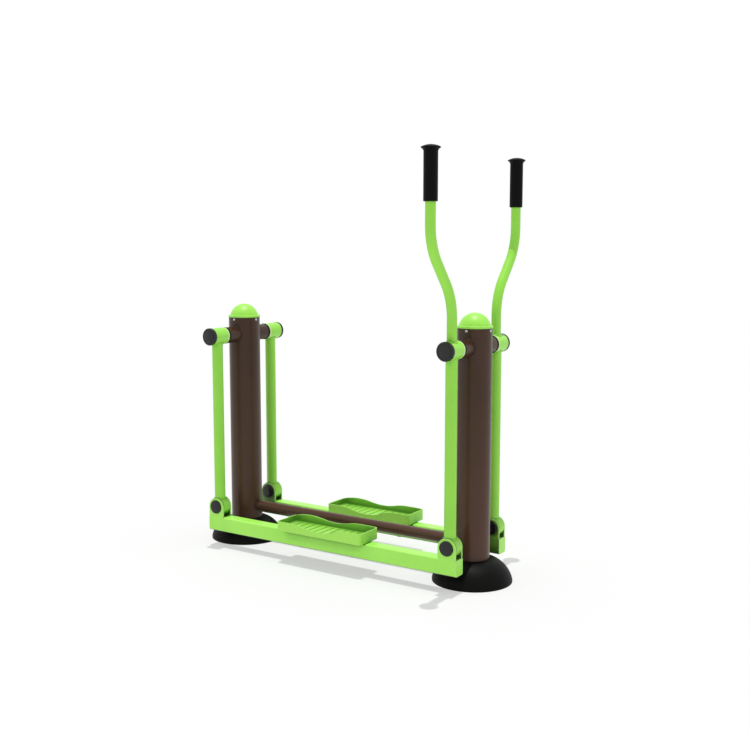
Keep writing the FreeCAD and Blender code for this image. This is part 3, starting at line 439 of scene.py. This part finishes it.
def moulded(name, hex_colour, grain_mm, depth_mm, roughness, specular, spread=0.06, hex_painted_side=None):
    """A moulded plastic: cellular grain from the tool, and shade and gloss in soft clouds."""
    material, tree, shader, place = blank_material(name)
    grain = add_node(tree, "ShaderNodeTexVoronoi", {
        "Vector": place, "Scale": per_metre(grain_mm), "Randomness": 1.0,
    }, feature="SMOOTH_F1")
    cloud = add_node(tree, "ShaderNodeTexNoise", {
        "Vector": place, "Scale": per_metre(grain_mm * GRAINS_PER_CLOUD), "Detail": 5.0,
    })
    bump = add_node(tree, "ShaderNodeBump", {
        "Height": grain.outputs["Distance"], "Distance": depth_mm / 1000, "Strength": 1.0,
    })
    level = add_node(tree, "ShaderNodeMapRange", {
        "Value": cloud.outputs["Fac"], "To Min": DARKEST_CLOUD, "To Max": LIGHTEST_CLOUD,
    })
    shade = add_node(tree, "ShaderNodeHueSaturation", {
        "Color": linear(hex_colour), "Value": level.outputs["Result"],
    }).outputs["Color"]
    # Painted reflection: the sides darker than the faces.
    if hex_painted_side:
        shade = painted_side_reflection(tree, shade, hex_painted_side)
    gloss = add_node(tree, "ShaderNodeMapRange", {
        "Value": cloud.outputs["Fac"], "To Min": roughness - spread, "To Max": roughness + spread,
    })
    shader.inputs["IOR"].default_value = POLYMER_IOR
    shader.inputs["Specular IOR Level"].default_value = specular
    wire(tree, shader, Base_Color=shade, Normal=bump.outputs["Normal"],
         Roughness=gloss.outputs["Result"])
    return material


materials["green_cap"] = moulded(
    "lime_satin_nylon", "9EE652",
    grain_mm=1.2, depth_mm=0.004, roughness=0.42, specular=0.55, spread=0.04)
materials["cover_plastic"] = moulded(
    "black_grained_polypropylene", "080907",
    grain_mm=1.4, depth_mm=0.05, roughness=0.5, specular=0.08)
materials["cap_plastic"] = moulded(
    "black_fine_grained_nylon", "141416",
    grain_mm=0.8, depth_mm=0.01, roughness=0.27, specular=0.4, hex_painted_side="030303")
print(len(materials), "finishes so far")

# %% [markdown]
# ## Rubbers
#
# Grips on machines like this are dipped or moulded in soft black rubber with a matt, slightly
# pebbled skin: no sharp highlight, and a soft sheen at the edge from dust and bloom. Hands polish
# it in patches about two fingers wide. The pebbles are a sharper cell pattern than the plastics',
# because rubber copies its mould to the last crease. The seals beside the hubs are plain matt
# rubber, a little greyer.

# %% Rubber
PEBBLES_PER_PATCH = 25
PATCH_SPREAD = 0.1
BLOOM_SHEEN, BLOOM_ROUGHNESS = 0.02, 0.5


def rubber(name, hex_colour, hex_worn, pebble_mm, depth_mm, roughness, specular):
    """Matt rubber: pebbled relief, a dusty sheen, and polish where hands have been."""
    material, tree, shader, place = blank_material(name)
    pebble = add_node(tree, "ShaderNodeTexVoronoi", {
        "Vector": place, "Scale": per_metre(pebble_mm), "Randomness": 0.9,
    }, feature="F1")
    wear = add_node(tree, "ShaderNodeTexNoise", {
        "Vector": place, "Scale": per_metre(pebble_mm * PEBBLES_PER_PATCH), "Detail": 5.0,
    })
    bump = add_node(tree, "ShaderNodeBump", {
        "Height": pebble.outputs["Distance"], "Distance": depth_mm / 1000, "Strength": 1.0,
    })
    gloss = add_node(tree, "ShaderNodeMapRange", {
        "Value": wear.outputs["Fac"],
        "To Min": roughness - PATCH_SPREAD, "To Max": roughness + PATCH_SPREAD,
    })
    colour = add_node(tree, "ShaderNodeMix", {
        "Factor": wear.outputs["Fac"], "A": linear(hex_colour), "B": linear(hex_worn),
    }, data_type="RGBA")
    shader.inputs["IOR"].default_value = POLYMER_IOR
    shader.inputs["Specular IOR Level"].default_value = specular
    shader.inputs["Sheen Weight"].default_value = BLOOM_SHEEN
    shader.inputs["Sheen Roughness"].default_value = BLOOM_ROUGHNESS
    wire(tree, shader, Base_Color=colour.outputs["Result"], Normal=bump.outputs["Normal"],
         Roughness=gloss.outputs["Result"])
    return material


materials["grip_rubber"] = rubber(
    "black_pebbled_grip_rubber", "060606", "0C0C0C",
    pebble_mm=1.3, depth_mm=0.12, roughness=0.5, specular=0.07)
materials["seal_rubber"] = rubber(
    "black_seal_rubber", "0A0A0A", "101010",
    pebble_mm=0.8, depth_mm=0.03, roughness=0.6, specular=0.12)
print(len(materials), "finishes so far")

# %% [markdown]
# ## Bare metals
#
# Four metals stay bare. The base plates are hot-dip galvanised, which crystallises into grey
# spangles a centimetre across, each with its own gloss. Axles and pins are ground steel, bright
# and even, with fine scratches. Bearing rings are polished until they mirror what is near them,
# and screws are zinc plated, with a paler, cloudier shine. All are metallic, so their colour is
# the colour of what they reflect. One recipe does for all four: cells stand for crystals or
# patches, and a fine noise for scratches.

# %% Metals
SCRATCH_DEPTH_MM, SCRATCH_STRENGTH = 0.02, 0.5


def bare_metal(name, hex_colour, hex_second, patch_mm, roughness, spread, scratch_mm):
    """A bare metal: crystals or patches that differ in shade and gloss, and fine scratches."""
    material, tree, shader, place = blank_material(name)
    patch = add_node(tree, "ShaderNodeTexVoronoi", {
        "Vector": place, "Scale": per_metre(patch_mm), "Randomness": 1.0,
    }, feature="F1")
    shade = add_node(tree, "ShaderNodeSeparateColor", {"Color": patch.outputs["Color"]})
    colour = add_node(tree, "ShaderNodeMix", {
        "Factor": shade.outputs["Red"], "A": linear(hex_colour), "B": linear(hex_second),
    }, data_type="RGBA")
    scratch = add_node(tree, "ShaderNodeTexNoise", {
        "Vector": place, "Scale": per_metre(scratch_mm), "Detail": 3.0,
    })
    bump = add_node(tree, "ShaderNodeBump", {
        "Height": scratch.outputs["Fac"], "Distance": SCRATCH_DEPTH_MM / 1000,
        "Strength": SCRATCH_STRENGTH,
    })
    gloss = add_node(tree, "ShaderNodeMapRange", {
        "Value": shade.outputs["Green"],
        "To Min": roughness - spread, "To Max": roughness + spread,
    })
    shader.inputs["Metallic"].default_value = 1.0
    wire(tree, shader, Base_Color=colour.outputs["Result"], Normal=bump.outputs["Normal"],
         Roughness=gloss.outputs["Result"])
    return material


materials["plate_steel"] = bare_metal(
    "galvanised_steel", "A3A6A8", "85898C",
    patch_mm=11, roughness=0.45, spread=0.1, scratch_mm=2)
materials["bright_steel"] = bare_metal(
    "ground_steel", "BDBDBE", "B4B4B6",
    patch_mm=4, roughness=0.26, spread=0.04, scratch_mm=0.6)
materials["bearing_steel"] = bare_metal(
    "polished_bearing_steel", "C4C4C8", "BCBCC0",
    patch_mm=3, roughness=0.16, spread=0.03, scratch_mm=1)
materials["plated_fastener"] = bare_metal(
    "zinc_plated_steel", "C9CACB", "BBBDC2",
    patch_mm=3, roughness=0.3, spread=0.06, scratch_mm=1)
print(len(materials), "finishes in all")

# %% [markdown]
# ## Painting the engineering solids
#
# The record says which finish each solid takes, so one loop paints them all. The solids stay as
# they are: only the material slot changes. Rails, ears and upper hubs take their own version of the
# green coat, with its own painted light and shade, and their names' endings say which.

# %% Paint every node
# Coats with their own painted light and shade.
OWN_PAINTED_LIGHT = {"_rail": "rail_paint", "_clevis_plates": "ear_paint", "_upper_hub": "hub_paint"}
for name, node in frame["nodes"].items():
    finish = slot_of[name]
    for ending, variant in OWN_PAINTED_LIGHT.items():
        if name.endswith(ending):
            finish = variant
    node.data.materials.clear()
    node.data.materials.append(materials[finish])
print("painted", len(frame["nodes"]), "nodes")

# %% [markdown]
# ## Weld beads
#
# Where a tube meets a hub or a post, the real machine has a weld: a rope of metal that follows the
# saddle-shaped joint, with a ripple for each pulse of the welder, then painted over. It could be a
# curve with a round bevel, but that has no ripple. So rings of vertices are set along the path,
# each a little wider or narrower than the last, and joined by faces. A bead that doesn't close on
# itself runs thin at both ends, as when the welder draws away.


# %% From vertices to a piece
def finished_mesh(name, mesh, finish):
    """Mesh data from a bmesh, with its faces turned outwards and one finish on it."""
    bmesh.ops.recalc_face_normals(mesh, faces=mesh.faces)
    data = bpy.data.meshes.new(name)
    mesh.to_mesh(data)
    mesh.free()
    data.materials.append(materials[finish])
    return data


def into_scene(name, data):
    """An object of the scene that holds a mesh, a lamp or a camera."""
    placed = bpy.data.objects.new(name, data)
    bpy.context.scene.collection.objects.link(placed)
    return placed


# %% Sweep a bead along a path
BEAD_RADIUS = 0.0026
BEAD_SIDES = 8
RIPPLE_PITCH = 0.0042
RIPPLE_DEPTH = 0.12
TAPER_RINGS, THINNEST_END = 4, 0.35


def bead_rings(mesh, points, closed):
    """Adds a ring of vertices at each point, square to the path and rippled."""
    last = len(points) - 1
    travelled = 0.0
    side = None
    rings = []
    for number, point in enumerate(points):
        before = points[number - 1] if closed or number else point
        after = points[(number + 1) % len(points)] if closed or number < last else point
        along = (after - before).normalized()
        if side is None:
            side = along.orthogonal().normalized()
        else:
            side = (side - along * side.dot(along)).normalized()
            travelled += (point - points[number - 1]).length
        up = along.cross(side)
        ripple = 1 + RIPPLE_DEPTH * math.sin(math.tau * travelled / RIPPLE_PITCH)
        from_end = min(number, last - number) / TAPER_RINGS
        taper = 1.0 if closed else min(1.0, THINNEST_END + (1 - THINNEST_END) * from_end)
        radius = BEAD_RADIUS * ripple * taper
        ring = []
        for step in range(BEAD_SIDES):
            angle = math.tau * step / BEAD_SIDES
            outwards = side * math.cos(angle) + up * math.sin(angle)
            ring.append(mesh.verts.new(point + outwards * radius))
        rings.append(ring)
    return rings


def sweep_bead(name, points, closed, slot, body):
    """A weld bead along the points, which rides on the body."""
    mesh = bmesh.new()
    rings = bead_rings(mesh, points, closed)
    pairs = list(zip(rings, rings[1:]))
    if closed:
        first, last = rings[0], rings[-1]
        shift = min(range(BEAD_SIDES), key=lambda s: (first[s].co - last[0].co).length)
        pairs.append((last, first[shift:] + first[:shift]))
    for low, high in pairs:
        for step in range(BEAD_SIDES):
            far = (step + 1) % BEAD_SIDES
            mesh.faces.new((low[step], low[far], high[far], high[step]))
    if not closed:
        mesh.faces.new(list(reversed(rings[0])))
        mesh.faces.new(rings[-1])
    data = finished_mesh(name, mesh, slot)
    data.shade_smooth()
    piece = into_scene(name, data)
    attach(piece, body)
    return piece


print("a bead is", round(BEAD_RADIUS * 2000, 1), "mm wide and ripples every",
      round(RIPPLE_PITCH * 1000, 1), "mm")

# %% [markdown]
# ## Where the welds run
#
# Where two tubes meet could be searched for on their meshes. But the joint of two crossed
# cylinders has an exact formula: at each angle round the smaller tube, the larger one's radius and
# the way sideways are two sides of a right-angled triangle, and the third is the distance to its
# skin. The sizes come from the solids themselves, as a box round a hub gives its radius and its
# middle. The bead's middle lies a little outside both skins, so that more than half of it stands
# proud.


# %% Measure the tubes
def span(node):
    """The middle and the half sizes of a node's box at rest."""
    low, high = (Vector(corner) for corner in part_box(node))
    return (low + high) / 2, (high - low) / 2


post_radius = span("front_post")[1].x
arm_radius = span("front_left_arm_tube")[1].x
handle_radius = span("left_handle")[1].x
hub_middle, hub_half = span("front_left_upper_hub")
lower_middle, lower_half = span("front_left_lower_hub")
crossarm_middle, crossarm_half = span("front_crossarm")
stretcher_middle, stretcher_half = span("stretcher")
print("post", round(post_radius * 1000, 1), "arm", round(arm_radius * 1000, 1),
      "hub", round(hub_half.x * 1000, 1), "mm in radius")

# %% The line where two tubes meet
BEAD_LIFT = BEAD_RADIUS * 0.25


def saddle(centre, up, round_axis, small, large, steps=72, half_arc=None, start=0.0):
    """Points where a small tube along `up` meets a large cylinder along `round_axis`.

    They go all the way round, or by half_arc to both sides of the start.
    """
    if half_arc is None:
        angles = [start + step / steps * math.tau for step in range(steps)]
    else:
        angles = [start - half_arc + step / (steps - 1) * 2 * half_arc for step in range(steps)]
    across = up.cross(round_axis)
    points = []
    for angle in angles:
        sideways = (small + BEAD_LIFT) * math.cos(angle)
        lengthways = (small + BEAD_LIFT) * math.sin(angle)
        height = math.sqrt(max(large ** 2 - sideways ** 2, 0.0)) + BEAD_LIFT
        points.append(centre + across * sideways + round_axis * lengthways + up * height)
    return points


print("a bead's middle lies", round(BEAD_LIFT * 1000, 2), "mm outside the tubes")

# %% Arms and handles on their hubs
UP, DOWN = Vector((0, 0, 1)), Vector((0, 0, -1))
ALONG_Y = Vector((0, 1, 0))
SIDES = {"left": 1, "right": -1}
ENDS = {"front": 1, "rear": -1}
SHORT_OF_HUB_END = 0.003
foot_arc = math.asin((lower_half.y - SHORT_OF_HUB_END) / arm_radius)

beads = []
for end in ENDS:
    for side in SIDES:
        body = f"{end}_{side}_arm"
        arm_at = span(f"{end}_{side}_arm_tube")[0]
        axle = Vector((arm_at.x, arm_at.y, hub_middle.z))
        pivot = Vector((arm_at.x, arm_at.y, lower_middle.z))
        path = saddle(axle, DOWN, ALONG_Y, arm_radius, hub_half.x)
        beads.append(sweep_bead(f"{end}_{side}_arm_top_weld", path, True, "green_paint", body))
        for mark, start in (("a", 0.0), ("b", math.pi)):
            path = saddle(pivot, UP, ALONG_Y, arm_radius, lower_half.x, 24, foot_arc, start)
            name = f"{end}_{side}_arm_foot_weld_{mark}"
            beads.append(sweep_bead(name, path, False, "green_paint", body))
for side in SIDES:
    arm_at = span(f"front_{side}_arm_tube")[0]
    axle = Vector((arm_at.x, arm_at.y, hub_middle.z))
    path = saddle(axle, UP, ALONG_Y, handle_radius, hub_half.x, steps=64)
    body = f"front_{side}_arm"
    beads.append(sweep_bead(f"{side}_handle_weld", path, True, "green_paint", body))
print(len(beads), "beads on the arms")

# %% Crossarms and stretcher on the posts
for end, sign in ENDS.items():
    post_at = span(f"{end}_post")[0]
    axle = Vector((post_at.x, 0, crossarm_middle.z))
    for side, way in SIDES.items():
        path = saddle(axle, ALONG_Y * way, UP, crossarm_half.x, post_radius, steps=96)
        name = f"{end}_crossarm_{side}_weld"
        beads.append(sweep_bead(name, path, True, "brown_paint", "frame"))
    foot = Vector((post_at.x, 0, stretcher_middle.z))
    path = saddle(foot, Vector((-sign, 0, 0)), UP, stretcher_half.z, post_radius)
    beads.append(sweep_bead(f"{end}_stretcher_weld", path, True, "brown_paint", "frame"))
print(len(beads), "beads in all")

# %% [markdown]
# ## Welds at the ears' feet
#
# Each rail carries two pairs of ears, which hold the pivots. An ear stands on the rail's rounded
# corner, and that leaves a groove under it. The real one is filled with weld and ground almost
# flush, so that ear and rail read as one plate. A ground weld has no ripple, so it isn't swept like
# the beads: one small section, drawn once, is stretched along the ear's foot. It sinks into both
# parts on its hidden side, and stands a quarter of a millimetre proud of them.

# %% Eight ground welds
FOOT_WELD_MM = ((0.0, 4.4), (0.25, 3.8), (0.25, -6.6), (0.0, -7.2), (-2.4, -2.4), (-4.8, 0.4))
SHORT_OF_EAR_END = 0.0005


def stretched_section(mesh, corner, outwards, half_length, section_mm):
    """Adds a closed bar to the mesh: a section (outwards, up) stretched both ways along X."""
    rows = []
    for way in (-1, 1):
        end_at = corner + Vector((half_length * way, 0, 0))
        rows.append([
            mesh.verts.new(end_at + outwards * (out / 1000) + UP * (up / 1000))
            for out, up in section_mm
        ])
    for low in range(len(section_mm)):
        high = (low + 1) % len(section_mm)
        mesh.faces.new((rows[0][low], rows[0][high], rows[1][high], rows[1][low]))
    mesh.faces.new(rows[0])
    mesh.faces.new(rows[1])


for side in SIDES:
    rail_at, rail_half = span(f"{side}_rail")
    ear_radius = span(f"{side}_clevis_plates")[1].x - span("front_post")[0].x
    welds = bmesh.new()
    for end in ENDS:
        foot = Vector((span(f"{end}_post")[0].x, rail_at.y, rail_at.z + rail_half.z))
        for way in (-1, 1):
            outwards = ALONG_Y * way
            corner = foot + outwards * rail_half.y
            stretched_section(welds, corner, outwards, ear_radius - SHORT_OF_EAR_END, FOOT_WELD_MM)
    name = f"{side}_ear_foot_welds"
    foot_welds = into_scene(name, finished_mesh(name, welds, "ground_weld_paint"))
    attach(foot_welds, f"{side}_rail_assembly")
print("ears are", round(ear_radius * 2000, 1), "mm wide at the foot")

# %% [markdown]
# ## Lip seals
#
# Rain has to stay out of the hubs, so a rubber ring closes the gap between each hub and the
# crossarm's end. The drawing has it as a plain disc. Here it is moulded with a lip that laps over
# the crossarm's end, which shows as a dark line beside the green; the lip is drawn wide enough that
# its black rubber also stands in for the shade where the crossarm enters the hub. Its section is
# turned round the axle, as on a lathe.

# %% Four lip seals
# The lip's width over the crossarm draws the dark line, which also stands in for shade.
SEAL_SECTION_MM = (
    (25.0, 0.05), (30.1, 0.05), (30.1, -5.6), (30.7, -5.4), (31.2, -4.2),
    (31.2, 0.4), (30.6, 1.9), (28.6, 2.6), (25.0, 2.6),
)
SEAL_STEPS = 96
SHARP_FROM_DEG = 35


def turned_ring(mesh, centre, outwards, section_mm, steps):
    """Adds a ring to the mesh: a closed section turned round a line along Y."""
    rounds = []
    for step in range(steps):
        angle = math.tau * step / steps
        radial = Vector((math.cos(angle), 0, math.sin(angle)))
        rounds.append([
            mesh.verts.new(centre + radial * (radius / 1000) + outwards * (along / 1000))
            for radius, along in section_mm
        ])
    for here, there in zip(rounds, rounds[1:] + rounds[:1]):
        for low in range(len(section_mm)):
            high = (low + 1) % len(section_mm)
            mesh.faces.new((here[low], here[high], there[high], there[low]))


seals = bmesh.new()
for end in ENDS:
    across = span(f"{end}_crossarm")[0]
    for way in SIDES.values():
        outwards = ALONG_Y * way
        crossarm_end = across + outwards * crossarm_half.y
        turned_ring(seals, crossarm_end, outwards, SEAL_SECTION_MM, SEAL_STEPS)
seal_data = finished_mesh("axle_lip_seals", seals, "seal_rubber")
seal_data.shade_smooth()
seal_data.set_sharp_from_angle(angle=math.radians(SHARP_FROM_DEG))
lip_seals = into_scene("axle_lip_seals", seal_data)
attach(lip_seals, "frame")
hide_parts("axle_seals")
print("lip seals with", len(seal_data.polygons), "faces")

# %% [markdown]
# ## Floor and backdrop
#
# A catalogue picture has no horizon: the floor is white paper that runs on into a white
# background. It lights the machine from below as real paper does. Seen by the camera or in a
# reflection, it is a greyer paper with a steady lift on top. Where light falls, the two add up to
# white, and the machine's shadow, which makes it stand, stays soft and pale.

# %% Floor
FLOOR_SIZE = 30.0
FLOOR_DROP = 0.0005
FLOOR_ALBEDO = "F1F1F1"
FLOOR_SHOWN = "B2B2B2"
LIFT_TO_WHITE = 0.44


def seen_directly(tree):
    """1 where the picture, a reflection or a clear material shows the surface, and 0 elsewhere."""
    path = add_node(tree, "ShaderNodeLightPath")
    camera_or_gloss = add_node(tree, "ShaderNodeMath", {
        0: path.outputs["Is Camera Ray"], 1: path.outputs["Is Glossy Ray"],
    }, operation="MAXIMUM")
    any_view = add_node(tree, "ShaderNodeMath", {
        0: camera_or_gloss.outputs["Value"], 1: path.outputs["Is Transmission Ray"],
    }, operation="MAXIMUM")
    return any_view.outputs["Value"]


half_floor = FLOOR_SIZE / 2
corners = [
    (x * half_floor, y * half_floor, -FLOOR_DROP)
    for x, y in ((-1, -1), (1, -1), (1, 1), (-1, 1))
]
floor_data = bpy.data.meshes.new("floor")
floor_data.from_pydata(corners, [], [(0, 1, 2, 3)])
floor = into_scene("floor", floor_data)

paper = bpy.data.materials.new("white_paper_floor")
paper.use_nodes = True
paper_tree = paper.node_tree
paper_tree.nodes.clear()
seen = seen_directly(paper_tree)
shown = add_node(paper_tree, "ShaderNodeMix", {
    "Factor": seen, "A": linear(FLOOR_ALBEDO), "B": linear(FLOOR_SHOWN),
}, data_type="RGBA")
diffuse = add_node(paper_tree, "ShaderNodeBsdfDiffuse", {"Color": shown.outputs["Result"]})
lift = add_node(paper_tree, "ShaderNodeMath", {0: seen, 1: LIFT_TO_WHITE}, operation="MULTIPLY")
glow = add_node(paper_tree, "ShaderNodeEmission", {"Strength": lift.outputs["Value"]})
both = add_node(paper_tree, "ShaderNodeAddShader", {0: diffuse.outputs[0], 1: glow.outputs[0]})
add_node(paper_tree, "ShaderNodeOutputMaterial", {"Surface": both.outputs[0]})
floor_data.materials.append(paper)
print("the floor throws back", round(linear(FLOOR_ALBEDO)[0], 2), "of the light")

# %% [markdown]
# ## The sky
#
# The world stands for a studio's walls and ceiling, which light softly from all sides. A picture
# of a sky could do it, but it would put its own colours on the paint. Plain white at 0.6 lights
# the machine, and the camera and the reflections see it at 1, which is the white of the page.

# %% World
SKY_LEVEL = 0.6
world = bpy.data.worlds.new("white_studio")
bpy.context.scene.world = world
world.use_nodes = True
sky_tree = world.node_tree
sky_tree.nodes.clear()
strength = add_node(sky_tree, "ShaderNodeMapRange", {
    "Value": seen_directly(sky_tree), "To Min": SKY_LEVEL, "To Max": 1.0,
})
sky = add_node(sky_tree, "ShaderNodeBackground", {
    "Color": linear("FFFFFF"), "Strength": strength.outputs["Result"],
})
add_node(sky_tree, "ShaderNodeOutputWorld", {"Surface": sky.outputs["Background"]})
print("the sky lights at", SKY_LEVEL)

# %% [markdown]
# ## The lamp
#
# The shadows in such a picture lie straight under the machine, so the lamp is straight above it. It
# is a sun and not a panel, because a panel's light would fade from the caps down to the ground.
# Upright faces then get their light from the white floor, which is part of why the rails look
# bright and the insides of the footboards, which can't see the floor, look dark; the rest is
# painted light and shade in their coats.

# %% Lamp
LAMP_LEVEL = 2.1
LAMP_SOFTNESS_DEG = 0.4
LAMP_LEAN_DEG = (-0.72, -0.52)
lamp_data = bpy.data.lights.new("overhead", "SUN")
lamp_data.energy = LAMP_LEVEL
lamp_data.angle = math.radians(LAMP_SOFTNESS_DEG)
lamp = into_scene("overhead", lamp_data)
lamp.rotation_euler = (math.radians(LAMP_LEAN_DEG[0]), math.radians(LAMP_LEAN_DEG[1]), 0)
print("the lamp leans by", LAMP_LEAN_DEG, "degrees")

# %% [markdown]
# ## The camera
#
# The camera's place was solved from the photograph: points whose place on the machine is known
# give one viewpoint and one lens. It is 1.13 m above the ground, which is lower than a grown
# person's eyes, in front of the machine and to its right, and it looks slightly down.

# %% Camera
CAMERA_PLACE = (2.1288, -3.0576, 1.1260)
CAMERA_TURN_DEG = 33.53
CAMERA_DOWN_DEG = 6.976
LENS_MM, SENSOR_MM = 50, 36
camera_data = bpy.data.cameras.new("camera")
camera_data.lens = LENS_MM
camera_data.sensor_width = SENSOR_MM
camera = into_scene("camera", camera_data)
camera.location = CAMERA_PLACE
camera.rotation_euler = (math.radians(90 - CAMERA_DOWN_DEG), 0, math.radians(CAMERA_TURN_DEG))
bpy.context.scene.camera = camera
bpy.context.scene.view_settings.view_transform = "Standard"
print("the camera is", round(math.hypot(*CAMERA_PLACE[:2]), 2), "m from the machine's middle")
